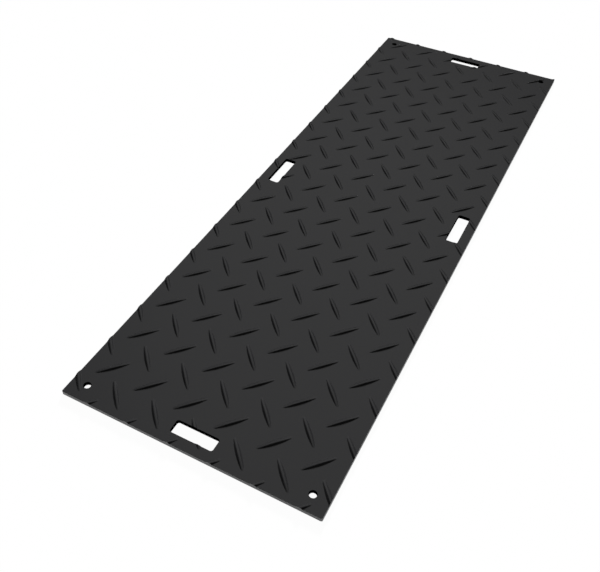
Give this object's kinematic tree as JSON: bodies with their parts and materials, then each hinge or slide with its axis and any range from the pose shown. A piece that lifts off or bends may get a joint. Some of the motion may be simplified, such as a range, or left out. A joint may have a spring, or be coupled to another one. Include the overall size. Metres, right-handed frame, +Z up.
{
  "type": "ground protection mat",
  "caption": "Long flat plastic ground mat with raised diamond tread on its top, a hand slot in the middle of each edge and a round hole in each corner.",
  "frame": {"origin": "middle of the underside, on the floor the mat lies on", "axes": "+Y along the mat's length, +X across its width, +Z up through the tread face"},
  "size_m": [0.6096, 1.8288, 0.0127],
  "materials": {
    "moulded_hdpe": "black HDPE, moulded, satin"
  },
  "bodies": {
    "root": {"mat": "moulded_hdpe"}
  },
  "joints": []
}
